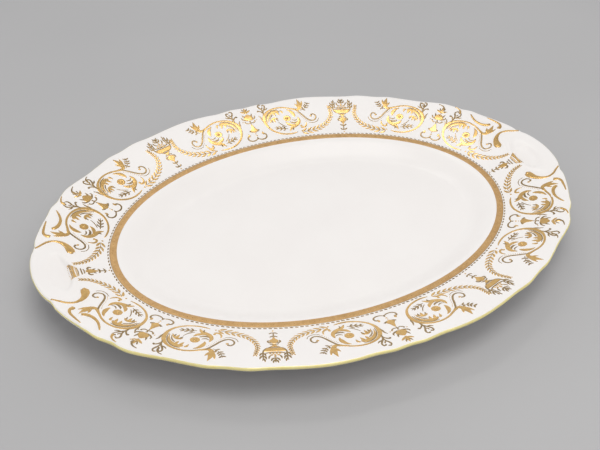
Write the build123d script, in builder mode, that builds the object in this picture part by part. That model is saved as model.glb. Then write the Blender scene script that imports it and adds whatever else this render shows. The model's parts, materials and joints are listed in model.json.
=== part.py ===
"""China serving platter: an oval porcelain casting with two lug handles and fired gold decoration.

Millimetres, +Z up. The origin is on the table, in the middle of the foot ring. The long axis is X.
The body's section follows one oval, the shoulder line, so every height below is given by how far
outside (+) or inside (-) that oval it lies, and each level of the body is an oval of its own. The
gilding is a thin skin of that same surface.
"""
from build123d import *
from math import cos, hypot, radians, sin
import os

# Driving dimensions of the body
shoulder_length = 141.8  # half length of the oval shoulder line, where the rim meets the well
shoulder_width = 99.1  # half width of the same oval
floor_top = 7.5  # height of the well floor over the table
floor_under = 3.5  # height of the underside inside the foot ring
shoulder_height = 17.2  # height of the flat shoulder that carries the gold band
shoulder_rise = 0.45  # what the shoulder climbs before the rim's slope begins
rim_start = 4.0  # where the rim's straight slope begins, outside the shoulder line
rim_rise = 0.262  # rise of the rim for each millimetre outwards
rim_thickness = 3.4  # thickness of the rim, measured upright
floor_edge = -26.0  # where the well floor ends and its wall begins
foot_inner = -23.4  # inner and outer edges of the foot ring's flat face
foot_outer = -20.4
foot_bevel = 0.6
wall_steps = 10  # conical bands that make up each curved stretch of the section
past_rim = 58.0  # the faces are made wider than the rim, then cut to the outline
thumb_centre = 187.0  # the shallow thumb hollow in each lug, cut by a large sphere
thumb_radius = 145.0
thumb_depth = 1.0
above_all = 40.0  # taller than the platter, for shapes cut upright through it

# Driving dimensions of the gilding
gold_thickness = 0.15
edge_bare = 0.3  # bare ceramic above and below the edge line
band_inner, band_outer = -5.2, 0.4
rope_inner, rope_outer = 1.0, 1.7

# The scalloped outline: a base oval of these half axes, and at each angle in degrees the fraction
# of it that the rim reaches. The lug is the stretch up to the notch at 12 degrees.
outline_length = 195.0
outline_width = 140.0
scallops = (
    (0, 0.983), (5, 0.981), (8.5, 0.977), (11.5, 0.969), (14.5, 0.972), (20, 0.970), (25, 0.970),
    (28.5, 0.975), (32, 0.972), (37, 0.982), (44, 0.973), (49, 0.978), (53, 0.986), (56.5, 0.984),
    (61, 0.993), (65, 0.989), (70, 0.996), (75, 1.003), (80, 0.999), (83.5, 0.992), (87, 0.997),
)
front_scallop = 0.992  # the fraction on the short axis, in a soft dip


def rim_height(outside):
    """Height of the rim's top face at a distance outside the shoulder line."""
    return shoulder_height + shoulder_rise + rim_rise * (outside - rim_start)


thumb_height = rim_height(thumb_centre - shoulder_length) - thumb_depth


def oval_point(angle, outside):
    """Point at a distance outside the shoulder oval, on its normal at a parameter angle."""
    normal = (cos(angle) / shoulder_length, sin(angle) / shoulder_width)
    size = hypot(*normal)
    x = shoulder_length * cos(angle) + outside * normal[0] / size
    y = shoulder_width * sin(angle) + outside * normal[1] / size
    return (x, y)


def outline_point(degrees_round, fraction):
    """Point of the scalloped outline."""
    angle = radians(degrees_round)
    return (outline_length * fraction * cos(angle), outline_width * fraction * sin(angle))


def inside_outline(outside=0.0):
    """Upright block inside the first quarter of the outline, which it may enlarge a little.

    It runs past both axes, so that it trims a quarter of the platter at the outline alone.
    """
    spread = [*scallops, (90, front_scallop)]
    first = (-scallops[1][0], scallops[1][1])
    last = (180 - scallops[-1][0], scallops[-1][1])
    points = [outline_point(*scallop) for scallop in (first, *spread, last)]
    moved = [(x * (1 + outside / hypot(x, y)), y * (1 + outside / hypot(x, y))) for x, y in points]
    with BuildPart() as block:
        with BuildSketch():
            with BuildLine():
                edge = Spline(*moved)
                Polyline(
                    edge @ 1,
                    (-above_all, (edge @ 1).Y),
                    (-above_all, -above_all),
                    ((edge @ 0).X, -above_all),
                    edge @ 0,
                )
            make_face()
        extrude(amount=above_all)
    return block.part


os.makedirs("parts", exist_ok=True)


def save(piece, name):
    """Label a finished piece and write its STEP file."""
    piece.part.label = name
    export_step(piece.part, f"parts/{name}.step")
    print(name, len(piece.part.solids()), "solids", round(piece.part.volume, 3), piece.part.is_valid)


with BuildLine(mode=Mode.PRIVATE) as top_section:
    top_wall = Spline(
        (floor_edge, floor_top),
        (-19.0, floor_top + 2.0),
        (-12.0, floor_top + 6.2),
        (-5.6, shoulder_height - 0.3),
        (rim_start, rim_height(rim_start)),
        tangents=[(1, 0), (1, rim_rise)],
    )
with BuildLine(mode=Mode.PRIVATE) as under_section:
    under_wall = Spline(
        (foot_outer, floor_under),
        (-12.0, 8.3),
        (-5.0, 12.3),
        (rim_start + 2, rim_height(rim_start + 2) - rim_thickness),
        tangents=[(1, 0.25), (1, rim_rise)],
    )


def levels(wall, drop):
    """Levels of a face as (outside, height): its curved wall, then its straight slope."""
    curved = [wall @ (step / wall_steps) for step in range(wall_steps + 1)]
    return [(point.X, point.Y) for point in curved] + [(past_rim, rim_height(past_rim) - drop)]


def oval(outside, whole):
    """Flat face of one level: the whole oval, or its first quarter."""
    long_half = shoulder_length + outside
    short_half = shoulder_width + outside
    with BuildSketch() as face:
        if whole:
            Ellipse(long_half, short_half)
        else:
            with BuildLine():
                EllipticalCenterArc((0, 0), long_half, short_half, 0, arc_size=90)
                Polyline((0, short_half), (0, 0), (long_half, 0))
            make_face()
    return face.sketch


def bowl(wall, drop, lift=0.0, whole=False):
    """Solid that fills the space above a face of the platter, lifted by a small step if asked."""
    face_levels = levels(wall, drop)
    with BuildPart() as filling:
        for outside, height in face_levels:
            with BuildSketch(Plane.XY.offset(height + lift)):
                add(oval(outside, whole))
        loft(ruled=True)
        with BuildSketch(Plane.XY.offset(face_levels[-1][1] + lift)):
            add(oval(past_rim, whole))
        extrude(amount=above_all)
    return filling.part


# ---- Platter body: a quarter with its foot ring, scalloped edge and thumb hollow, mirrored ----
with BuildPart() as platter_body:
    add(bowl(under_wall, rim_thickness))
    with BuildSketch(Plane.XY.offset(floor_under)):
        add(oval(foot_outer + foot_bevel, False))
        add(oval(foot_inner - foot_bevel, False), mode=Mode.SUBTRACT)
    with BuildSketch():
        add(oval(foot_outer, False))
        add(oval(foot_inner, False), mode=Mode.SUBTRACT)
    loft(ruled=True)
    add(bowl(top_wall, 0), mode=Mode.SUBTRACT)
    add(inside_outline(), mode=Mode.INTERSECT)
    with Locations((thumb_centre, 0, thumb_height + thumb_radius)):
        Sphere(thumb_radius, mode=Mode.SUBTRACT)
    mirror(about=Plane.YZ)
    mirror(about=Plane.XZ)
save(platter_body, "platter_body")

# ---- Edge gilding: a thin ribbon on the upright edge face ----
with BuildPart() as edge_gilding:
    add(bowl(under_wall, rim_thickness, edge_bare))
    add(bowl(top_wall, 0, -edge_bare), mode=Mode.SUBTRACT)
    add(inside_outline(gold_thickness), mode=Mode.INTERSECT)
    add(inside_outline(), mode=Mode.SUBTRACT)
    mirror(about=Plane.YZ)
    mirror(about=Plane.XZ)
save(edge_gilding, "edge_gilding")

# ---- Gold skin: a layer on the top face, as thick as the gilding ----
gold_skin = bowl(top_wall, 0, 0, True) - bowl(top_wall, 0, gold_thickness, True)

# ---- Well band and dashed line: two bands that follow the shoulder ----
for name, inner, outer in (
    ("well_band", band_inner, band_outer),
    ("dashed_line", rope_inner, rope_outer),
):
    with BuildPart() as band:
        with BuildSketch():
            Ellipse(shoulder_length + outer, shoulder_width + outer)
            Ellipse(shoulder_length + inner, shoulder_width + inner, mode=Mode.SUBTRACT)
        extrude(amount=above_all)
        add(gold_skin, mode=Mode.INTERSECT)
    save(band, name)

# ---- Painted motifs. A stroke is its centre line, as (across, out, half width) ----
# Medallion: the origin is the dot where its garland ends, across runs towards the candelabra.
medallion_strokes = {
    "ring": (
        (3.6, -0.3, 0.1), (7.5, -0.75, 0.4), (12.5, -0.5, 0.5), (18.0, 1.3, 0.55), (23.0, 4.9, 0.6),
        (26.0, 9.8, 0.75), (26.8, 15.0, 1.0), (25.4, 20.0, 1.0), (22.0, 23.9, 0.75),
        (17.0, 26.2, 0.55), (11.5, 26.7, 0.5), (6.0, 25.8, 0.5), (1.0, 23.9, 0.6), (-3.2, 22.2, 0.8),
    ),
    "volute": (
        (-2.2, 22.0, 0.3), (-3.9, 19.6, 0.5), (-6.0, 15.8, 0.6), (-8.0, 11.8, 0.65),
        (-10.4, 9.0, 0.6), (-13.2, 8.2, 0.5), (-15.6, 9.8, 0.5), (-16.2, 12.4, 0.5),
        (-14.8, 14.5, 0.5), (-12.8, 14.0, 0.5),
    ),
    "leaf_stem": ((-2.6, 22.0, 0.6), (-5.2, 21.9, 0.9), (-7.0, 23.4, 1.2), (-7.6, 25.4, 1.4)),
    "leaf_tip": ((-7.6, 25.0, 1.6), (-8.2, 28.0, 1.2), (-8.1, 31.6, 0.1)),
    "leaf_left": ((-7.6, 24.6, 1.2), (-9.6, 27.0, 0.8), (-11.1, 29.3, 0.1)),
    "leaf_right": ((-7.2, 24.6, 1.2), (-6.0, 26.4, 0.7), (-5.0, 28.3, 0.1)),
    "curl": (
        (-6.7, 6.9, 0.15), (-6.3, 4.9, 0.35), (-4.9, 3.4, 0.5), (-2.9, 3.0, 0.6), (-1.6, 4.4, 0.7),
    ),
    "side_leaf": ((3.8, 21.4, 0.15), (1.6, 19.8, 0.9), (0.5, 17.3, 1.2), (1.0, 14.6, 0.1)),
    "low_blade": (
        (-1.2, 13.6, 0.1), (-0.8, 10.3, 0.55), (1.2, 7.6, 0.95), (4.5, 6.1, 1.1), (7.6, 5.0, 0.8),
        (9.3, 3.1, 0.1),
    ),
    "mid_blade": ((3.2, 6.8, 0.1), (6.2, 7.2, 0.5), (8.9, 8.2, 0.7), (10.2, 10.4, 0.1)),
    "high_blade": ((0.3, 9.2, 0.1), (2.8, 9.0, 0.45), (4.9, 9.6, 0.5), (6.0, 10.9, 0.1)),
    "top_leaf": (
        (24.6, 15.6, 0.1), (23.0, 19.0, 0.6), (19.8, 21.8, 1.2), (15.4, 22.8, 1.5),
        (11.5, 22.6, 1.1), (8.8, 21.4, 0.1),
    ),
    "top_lobe": ((15.6, 22.4, 1.0), (14.0, 20.6, 0.8), (13.6, 18.4, 0.1)),
    "top_hook": ((12.2, 22.2, 0.8), (10.6, 20.9, 0.7), (9.8, 19.2, 0.1)),
    "hook_leaf": (
        (24.2, 13.0, 0.1), (22.2, 15.2, 0.5), (19.4, 16.2, 1.0), (17.0, 16.3, 0.8), (15.2, 15.4, 0.1),
    ),
    "hook_lobe": ((19.4, 16.0, 0.7), (19.2, 14.2, 0.8), (18.0, 12.3, 0.1)),
    "sprig": ((10.4, 4.4, 0.1), (13.4, 5.0, 0.7), (17.0, 6.0, 0.6), (20.8, 7.0, 0.1)),
    "sprig_up": ((12.6, 5.0, 0.3), (14.2, 6.7, 0.5), (16.4, 7.9, 0.1)),
    "spray_left": (
        (25.2, 20.6, 0.4), (25.2, 24.5, 0.4), (23.4, 27.6, 0.4), (22.6, 30.2, 0.4),
        (23.6, 31.9, 0.4), (24.9, 31.0, 0.2),
    ),
    "spray_mid": ((25.1, 24.2, 0.3), (25.9, 27.2, 0.4), (27.3, 29.6, 0.45), (27.0, 32.4, 0.2)),
    "spray_right": ((25.2, 22.6, 0.3), (26.8, 24.8, 0.4), (29.2, 26.0, 0.4)),
}
medallion_discs = ((0.0, 0.0, 0.7), (7.8, 14.4, 2.8), (-1.8, 5.4, 1.0), (-12.4, 13.0, 1.0))

# Candelabra: the origin is on the shoulder line and out is its own axis. Strokes are one side of it.
candelabra_half = {
    "foot_curl": (
        (0.5, 7.2, 0.5), (2.0, 5.3, 0.5), (4.0, 4.5, 0.5), (6.2, 5.3, 0.55), (7.2, 7.3, 0.6),
        (6.3, 9.2, 0.6), (4.2, 9.7, 0.5),
    ),
    "foot_leaf": ((4.3, 11.4, 0.1), (4.1, 9.6, 0.6), (3.9, 7.6, 0.1)),
    "bell_lip": ((0.0, 14.2, 0.8), (2.0, 14.3, 0.6), (4.0, 14.9, 0.1)),
    "cup": ((0.0, 25.4, 0.6), (1.3, 25.6, 0.6), (2.4, 26.9, 0.2)),
    "leaf_low": ((0.6, 28.0, 0.5), (2.8, 27.4, 0.5), (5.0, 28.2, 0.1)),
    "leaf_high": ((0.6, 29.6, 0.6), (2.4, 31.0, 0.7), (4.4, 31.6, 0.1)),
    "petal": ((0.3, 33.6, 0.4), (1.6, 35.2, 0.6), (2.6, 37.2, 0.1)),
}
candelabra_axis = {
    "knop": ((0, 7.0, 0.4), (0, 9.2, 0.9), (0, 10.0, 0.1)),
    "bell": ((0, 11.8, 0.2), (0, 13.2, 0.9), (0, 14.6, 1.9), (0, 17.0, 1.1), (0, 20.8, 0.2)),
    "stem": ((0, 20.4, 0.3), (0, 25.0, 0.3), (0, 28.6, 1.5), (0, 31.4, 0.9), (0, 33.6, 0.4)),
    "flower": ((0, 33.4, 0.4), (0, 35.4, 0.9), (0, 38.0, 0.1)),
}

# Urn: drawn like the candelabra, on the slanting axis of the four urns.
urn_half = {
    "low_bar": ((0.0, 6.0, 0.6), (1.4, 6.1, 0.5), (2.6, 7.2, 0.1)),
    "mid_bar": ((0.0, 10.3, 0.7), (1.7, 10.3, 0.6), (3.0, 11.4, 0.1)),
    "drop_leaf": ((0.8, 16.6, 0.6), (2.6, 16.6, 0.7), (4.2, 15.2, 0.1)),
    "fruit_stalk": ((1.5, 30.6, 0.4), (3.4, 32.2, 0.5), (5.4, 32.6, 0.5), (7.4, 34.4, 0.1)),
    "fruit_spray": ((2.6, 31.4, 0.3), (4.4, 34.0, 0.5), (5.0, 37.2, 0.1)),
    "fruit_side": ((3.6, 30.6, 0.3), (6.4, 31.4, 0.5), (9.0, 30.6, 0.1)),
    "top_leaf": ((0.6, 33.4, 0.5), (2.0, 35.2, 0.6), (2.8, 37.6, 0.1)),
}
urn_axis = {
    "drop": ((0, 5.4, 0.3), (0, 9.4, 0.5), (0, 11.6, 0.5), (0, 16.2, 1.7), (0, 18.4, 0.7)),
    "bowl": (
        (0, 18.2, 0.8), (0, 20.4, 2.0), (0, 22.2, 3.4), (0, 24.2, 5.2), (0, 27.0, 6.6),
        (0, 29.8, 6.8),
    ),
    "fruit": ((0, 29.4, 3.6), (0, 31.6, 2.4), (0, 33.6, 2.0), (0, 36.2, 0.3)),
}

# Palmette beside the lug: a fluted basket over a drop.
palmette_half = {
    "low_bar": ((0.0, 5.0, 0.6), (1.4, 5.0, 0.5), (2.4, 5.9, 0.1)),
    "mid_bar": ((0.0, 9.0, 0.8), (1.7, 9.0, 0.6), (2.8, 9.6, 0.1)),
    "drop_leaf": ((0.9, 15.8, 0.5), (2.4, 15.8, 0.6), (3.9, 13.6, 0.1)),
    "tier": ((0.0, 21.2, 0.7), (3.2, 21.0, 0.7), (5.2, 19.9, 0.1)),
    "fringe": ((0.0, 26.0, 0.5), (4.6, 26.6, 0.8), (8.8, 27.2, 0.1)),
}
palmette_axis = {
    "drop": (
        (0, 4.4, 0.3), (0, 8.0, 0.7), (0, 10.6, 0.6), (0, 13.6, 1.9), (0, 16.4, 0.9),
        (0, 21.0, 0.9),
    ),
    "basket": ((0, 21.6, 5.6), (0, 23.6, 6.6), (0, 25.6, 8.0)),
}

# Garlands, in plan in the first quarter: the vine from its hung end to the medallion's dot.
garland_vines = {
    "handle": ((165.8, 9.2), (159.3, 9.3), (153.8, 11.6), (148.8, 16.2), (144.4, 22.4), (142.7, 27.5)),
    "side": ((86.5, 111.6), (81.8, 102.9), (83.1, 92.9), (89.4, 84.8), (96.1, 79.3)),
    "centre": ((66.0, 119.1), (64.0, 109.5), (56.5, 102.8), (46.6, 100.7), (38.0, 101.1)),
}
husk_pitch = 2.2  # distance from one husk to the next
husk_small, husk_large = 0.8, 2.1  # half width of the first and the last husk
husk_ahead, husk_behind = 0.9, 0.6  # reach of a husk from its widest place, in pitches
vine_half = 0.2  # half width of the vine between husks

# Gilded casting relief in plan in the first quarter: the scroll that frames the lug, and strokes.
lug_scroll = (
    (164.4, 18.6, 1.6), (164.0, 22.0, 1.8), (165.0, 26.0, 1.6), (167.6, 29.2, 1.4),
    (171.9, 31.0, 1.2), (176.8, 30.2, 1.0), (181.4, 27.8, 0.7), (184.6, 25.4, 0.3),
)
relief_strokes = {
    "hook": (
        (174.9, 34.2, 0.8), (176.9, 35.8, 0.8), (177.0, 39.4, 0.8), (175.2, 44.4, 0.6),
        (173.0, 50.0, 0.2),
    ),
    "crescent": (
        (171.6, 42.4, 0.7), (168.6, 43.8, 0.9), (165.4, 47.2, 0.9), (163.8, 52.2, 0.8),
        (163.9, 56.8, 0.5), (164.4, 59.6, 0.2),
    ),
    "comma": ((158.6, 63.6, 0.9), (159.9, 65.6, 0.8), (160.1, 68.9, 0.6), (159.1, 72.2, 0.2)),
    "far_comma": ((149.4, 73.8, 0.8), (150.7, 75.8, 0.7), (151.0, 78.8, 0.5), (150.2, 81.2, 0.2)),
}

medallion_places = {
    "handle": ((141.1, 29.7), 119, -1),
    "side": ((98.8, 77.8), -36, 1),
    "centre": ((35.3, 101.3), 174, -1),
}
urn_angle, urn_heading = radians(62.2), 71
urn_dot, palmette_dot = 3.8, 2.4  # how far outside the shoulder line their dots lie
dot_radius = 0.7
diagonal_angle, diagonal_heading = radians(32), 42
quarters = (("right_back", 1, 1), ("left_back", -1, 1), ("right_front", 1, -1), ("left_front", -1, -1))


def place(point, origin, heading, hand):
    """Plan position of a motif's own point. The heading of its across axis is in degrees."""
    across, out = point[:2]
    x = origin[0] + across * cos(radians(heading)) - hand * out * sin(radians(heading))
    y = origin[1] + across * sin(radians(heading)) + hand * out * cos(radians(heading))
    return (x, y, *point[2:])


def stroke(points, side=Spline):
    """Flat face of one stroke, from its centre points with their half widths."""
    left, right = [], []
    for number, (x, y, half) in enumerate(points):
        before = points[max(number - 1, 0)]
        after = points[min(number + 1, len(points) - 1)]
        run_x, run_y = after[0] - before[0], after[1] - before[1]
        size = hypot(run_x, run_y)
        left.append((x - half * run_y / size, y + half * run_x / size))
        right.append((x + half * run_y / size, y - half * run_x / size))
    with BuildSketch() as face:
        with BuildLine():
            side(*left)
            side(*right)
            Line(left[0], right[0])
            Line(left[-1], right[-1])
        make_face()
    return face.sketch


def disc(x, y, radius):
    """Flat round face."""
    with BuildSketch() as face:
        with Locations((x, y)):
            Circle(radius)
    return face.sketch


def husks(vine):
    """Chain of husk leaves along a vine, growing towards its end."""
    with BuildLine():
        line = Spline(*vine)
    count = int(line.length / husk_pitch)
    chain = []
    for number in range(count):
        along = (number + 0.5) / count
        grown = husk_small + (husk_large - husk_small) * along
        root = line @ along
        heading = line % along
        tip = root + heading * husk_pitch * husk_ahead
        base = root - heading * husk_pitch * husk_behind
        points = ((base.X, base.Y, vine_half), (root.X, root.Y, grown), (tip.X, tip.Y, vine_half))
        chain.append(stroke(points))
    return chain


def gild(name, faces, about=()):
    """One node of gilding: the gold skin inside the upright walls of its faces."""
    with BuildPart() as motif:
        with BuildSketch():
            add(faces)
        extrude(amount=above_all)
        add(gold_skin, mode=Mode.INTERSECT)
        for plane in about:
            mirror(about=plane, mode=Mode.REPLACE)
    save(motif, name)


def gild_quarters(name, faces):
    """The same gilding in all four quarters."""
    for quarter_name, along, over in quarters:
        planes = [plane for plane, sign in ((Plane.YZ, along), (Plane.XZ, over)) if sign < 0]
        gild(f"{name}_{quarter_name}", faces, planes)


def on_axis(half, axis, origin, heading):
    """Faces of a motif that is the same on both sides of its own axis."""
    across_heading = heading - 90
    placed = [[place(p, origin, across_heading, 1) for p in points] for points in axis.values()]
    faces = [stroke(points, Polyline) for points in placed]
    for points in half.values():
        for side in (1, -1):
            turned = [(side * across, out, wide) for across, out, wide in points]
            faces.append(stroke([place(p, origin, across_heading, 1) for p in turned]))
    return faces


for name, where in medallion_places.items():
    strokes = [stroke([place(p, *where) for p in points]) for points in medallion_strokes.values()]
    discs = [disc(*place(p, *where)) for p in medallion_discs]
    gild_quarters(f"medallion_{name}", strokes + discs)

for name, vine in garland_vines.items():
    gild_quarters(f"garland_{name}", husks(vine))

gild_quarters("lug_scroll", [stroke(lug_scroll)])
gild_quarters("relief_strokes", [stroke(points) for points in relief_strokes.values()])

urn = on_axis(urn_half, urn_axis, oval_point(urn_angle, 0), urn_heading)
urn.append(disc(*oval_point(urn_angle, urn_dot), dot_radius))
gild_quarters("urn", urn)

diagonal = on_axis(
    candelabra_half, candelabra_axis, oval_point(diagonal_angle, 0), diagonal_heading
)
gild_quarters("candelabra_diagonal", diagonal)

middle = on_axis(candelabra_half, candelabra_axis, (0, shoulder_width), 90)
gild("candelabra_back", middle)
gild("candelabra_front", middle, [Plane.XZ])

palmette = on_axis(palmette_half, palmette_axis, (shoulder_length, 0), 0)
palmette.append(disc(shoulder_length + palmette_dot, 0, dot_radius))
gild("palmette_right", palmette)
gild("palmette_left", palmette, [Plane.YZ])
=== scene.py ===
"""China serving platter with fired gold decoration, on a plain studio floor.

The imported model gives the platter's size. This script lays a finer skin over it: one closed china
body, and for each CAD node of gilding a mesh of thin raised strokes that follow the china's top face.
Plan positions, heights and stroke widths are in millimetres; a mesh is written in metres.
The pattern repeats in four mirrored quarters, so it is described in the first one, +X and +Y.
"""
import json
from math import cos, hypot, pi, radians, sin

import bmesh
import bpy
import numpy as np
from mathutils import Matrix, Vector


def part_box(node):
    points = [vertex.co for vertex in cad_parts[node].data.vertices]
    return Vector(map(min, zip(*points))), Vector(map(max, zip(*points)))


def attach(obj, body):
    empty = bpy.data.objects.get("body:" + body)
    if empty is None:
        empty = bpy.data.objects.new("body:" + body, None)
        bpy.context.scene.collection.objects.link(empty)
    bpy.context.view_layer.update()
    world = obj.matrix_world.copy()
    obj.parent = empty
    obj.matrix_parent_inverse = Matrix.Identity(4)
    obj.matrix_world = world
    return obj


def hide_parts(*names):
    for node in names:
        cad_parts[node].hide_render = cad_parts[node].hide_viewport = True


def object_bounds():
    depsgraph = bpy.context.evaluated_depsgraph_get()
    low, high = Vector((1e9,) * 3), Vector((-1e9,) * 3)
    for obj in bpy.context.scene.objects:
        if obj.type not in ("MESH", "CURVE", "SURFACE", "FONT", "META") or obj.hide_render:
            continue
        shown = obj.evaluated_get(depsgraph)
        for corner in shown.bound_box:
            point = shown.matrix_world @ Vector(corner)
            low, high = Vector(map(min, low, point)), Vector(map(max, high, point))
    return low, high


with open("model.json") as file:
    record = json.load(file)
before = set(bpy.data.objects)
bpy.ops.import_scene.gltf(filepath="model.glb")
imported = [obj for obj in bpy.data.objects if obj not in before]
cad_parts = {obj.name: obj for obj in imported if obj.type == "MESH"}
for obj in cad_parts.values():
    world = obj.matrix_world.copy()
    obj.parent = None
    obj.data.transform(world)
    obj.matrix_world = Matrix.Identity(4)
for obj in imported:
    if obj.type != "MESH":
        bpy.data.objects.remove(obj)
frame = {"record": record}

cad_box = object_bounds()

MM = 0.001
ROOT = "root"

# ---- Sizes taken from the frame ----
band_inner, band_outer = -5.2, 0.4  # the well band's edges, measured outwards from the shoulder line
band_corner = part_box("well_band")[1] / MM
shoulder_length = band_corner.x - band_outer  # half axes of the shoulder line, an oval
shoulder_width = band_corner.y - band_outer
mounts = {mount["name"]: mount for mount in frame["record"]["mounts"]}
floor_top = mounts["well_floor"]["pos_m"][2] / MM

# ---- Section of the china, as (outside the shoulder line, height, slope) ----
floor_edge = -26.0
floor_under = 3.5
rim_start = 4.0
rim_rise = 0.262
rim_reach = 41.0  # from the rim's start to its edge on the short axis
rim_crown = 0.65  # the rim is very slightly arched between its start and its edge
top_profile = (
    (floor_edge, floor_top, 0.0), (-19.0, 9.5, 0.5), (-12.0, 13.7, 0.62), (-5.6, 16.9, 0.16),
    (-1.0, 17.3, 0.03), (rim_start, 17.65, rim_rise),
)
under_profile = (
    (-19.8, floor_under, 0.3), (-12.0, 8.3, 0.6), (-5.0, 12.3, 0.48), (6.0, 14.77, rim_rise),
)
foot_inner, foot_outer = -23.4, -20.4
foot_section = (  # (outside the shoulder line, height), down the foot's outer face and up its inner one
    (foot_outer + 0.25, 1.4), (foot_outer - 0.1, 0.25), (foot_outer - 0.5, 0.0),
    (foot_inner + 0.5, 0.0), (foot_inner + 0.1, 0.25), (foot_inner - 0.25, 1.4),
    (foot_inner - 0.9, 3.1), (foot_inner - 2.0, floor_under),
)
lip_radius = 1.2

# The scalloped outline, the same as the CAD body's: (angle in degrees, fraction of the base oval)
outline_length, outline_width = 195.0, 140.0  # half axes of the base oval
scallops = (
    (0, 0.983), (5, 0.981), (8.5, 0.977), (11.5, 0.969), (14.5, 0.972), (20, 0.970), (25, 0.970),
    (28.5, 0.975), (32, 0.972), (37, 0.982), (44, 0.973), (49, 0.978), (53, 0.986), (56.5, 0.984),
    (61, 0.993), (65, 0.989), (70, 0.996), (75, 1.003), (80, 0.999), (83.5, 0.992), (87, 0.997),
    (90, 0.992),
)

# ---- Relief cast into the china beside each lug, in plan, as (x, y, half width) ----
lug_scroll = (
    (163.4, 18.8, 1.6), (163.6, 21.4, 1.85), (164.8, 25.4, 1.35), (167.4, 28.8, 0.95),
    (171.6, 31.0, 0.55), (176.4, 30.4, 0.5), (181.0, 27.6, 0.45), (184.6, 25.4, 0.3),
)
relief_strokes = {
    "hook": (
        (173.2, 35.6, 0.7), (174.2, 36.4, 1.0), (175.9, 37.4, 0.7), (176.6, 40.2, 0.55),
        (175.2, 45.0, 0.45), (172.6, 51.2, 0.2),
    ),
    "crescent": (
        (170.6, 43.4, 0.6), (168.6, 43.8, 0.85), (166.2, 45.6, 0.8), (164.2, 48.6, 0.7),
        (163.0, 52.6, 0.55), (163.1, 57.2, 0.45), (163.8, 61.0, 0.2),
    ),
    "comma": (
        (157.0, 66.2, 0.45), (157.8, 67.2, 0.6), (158.8, 69.2, 0.4), (158.4, 72.0, 0.28),
        (157.4, 74.4, 0.15),
    ),
    "far_comma": (
        (147.9, 75.8, 0.45), (148.8, 76.8, 0.55), (149.5, 78.8, 0.4), (149.0, 81.0, 0.28),
        (147.8, 83.2, 0.15),
    ),
    "end_comma": (
        (135.6, 86.0, 0.4), (136.5, 86.9, 0.5), (137.4, 88.8, 0.38), (137.0, 90.8, 0.25),
        (135.8, 92.4, 0.15),
    ),
}
relief_start = 140.0  # nearer the middle than this, the china has no relief
ridge_height = 0.55
ridge_skirt = 1.6  # how far a ridge slopes away beside its stroke
ridge_lift = 3.5  # gold on a ridge stands higher, by this factor, to clear the ridge's facets

# The thumb dish in a lug: an oval hollow. Its wall and its ridge are in shares of the oval.
dish_centre, dish_length, dish_width, dish_depth = 175.5, 8.5, 20.0, 1.9
dish_inner_reach = 0.4  # how far past the oval's middle its inner side begins
dish_wall_outer, dish_wall_inner = 0.6, 0.3
dish_ridge, dish_ridge_place, dish_ridge_spread = 0.7, 1.05, 0.13


def smooth_path(points, step=0.7):
    """Rows along a smooth curve through the points, about a step apart."""
    rows = np.array(points, float)
    ends = np.vstack([2 * rows[0] - rows[1], rows, 2 * rows[-1] - rows[-2]])
    path = []
    for before, start, end, after in zip(ends, ends[1:], ends[2:], ends[3:]):
        count = max(3, int(hypot(*(end - start)[:2]) / step))
        for t in np.arange(count) / count:
            path.append(
                0.5 * (2 * start + (end - before) * t + (2 * before - 5 * start + 4 * end - after) * t**2
                       + (3 * start - before - 3 * end + after) * t**3)
            )
    path.append(rows[-1])
    return np.array(path)


def profile_height(profile, outside):
    """Height of a section at distances outside the shoulder line: a cubic between its points."""
    outside = np.asarray(outside, float)
    height = np.full(outside.shape, float(profile[0][1]))
    for (x0, z0, s0), (x1, z1, s1) in zip(profile, profile[1:]):
        span = x1 - x0
        t = np.clip((outside - x0) / span, 0, 1)
        curve = (
            z0 * (2 * t**3 - 3 * t**2 + 1) + z1 * (3 * t**2 - 2 * t**3)
            + span * s0 * (t**3 - 2 * t**2 + t) + span * s1 * (t**3 - t**2)
        )
        height = np.where(outside > x0, curve, height)
    last_x, last_z, last_slope = profile[-1]
    return np.where(outside > last_x, last_z + last_slope * (outside - last_x), height)


def outside_shoulder(x, y):
    """How far outside the shoulder line points lie, on the oval that goes through each."""
    reach = np.hypot(x / shoulder_length, y / shoulder_width)
    outside = np.hypot(x, y) * (1 - 1 / np.maximum(reach, 1e-6))
    outside = np.maximum(outside, -0.9 * shoulder_width)  # keeps the oval from vanishing
    for _ in range(8):  # Newton's steps, from that first guess
        long_half = shoulder_length + outside
        short_half = shoulder_width + outside
        value = (x / long_half) ** 2 + (y / short_half) ** 2 - 1
        slope = -2 * (x**2 / long_half**3 + y**2 / short_half**3)
        outside = outside - value / np.minimum(slope, -1e-9)
    return outside


def smooth_step(t):
    """0 below 0, 1 above 1, and smooth between."""
    t = np.clip(t, 0, 1)
    return t * t * (3 - 2 * t)


relief_paths = [smooth_path(points, 1.5) for points in (lug_scroll, *relief_strokes.values())]


def relief(x, y):
    """Height of the cast relief beside the lugs, the same in all four quarters."""
    along, over = np.abs(x), np.abs(y)
    height = np.zeros(np.shape(x))
    near_lug = along > relief_start
    if near_lug.any():
        along, over = along[near_lug], over[near_lug]
        raised = np.zeros(along.shape)
        for path in relief_paths:
            gap = np.hypot(along[:, None] - path[:, 0], over[:, None] - path[:, 1]) - path[:, 2]
            raised = np.maximum(raised, ridge_height * smooth_step(1 - gap.min(1) / ridge_skirt))
        ring = np.hypot((along - dish_centre) / dish_length, over / dish_width)
        inner_side = smooth_step((dish_centre - along) / dish_length + dish_inner_reach)
        wall = dish_wall_outer + (dish_wall_inner - dish_wall_outer) * inner_side
        raised -= dish_depth * (1 - smooth_step((ring - 1 + wall) / wall))
        raised += dish_ridge * np.exp(-(((ring - dish_ridge_place) / dish_ridge_spread) ** 2)) * inner_side
        height[near_lug] = raised
    return height


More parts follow.
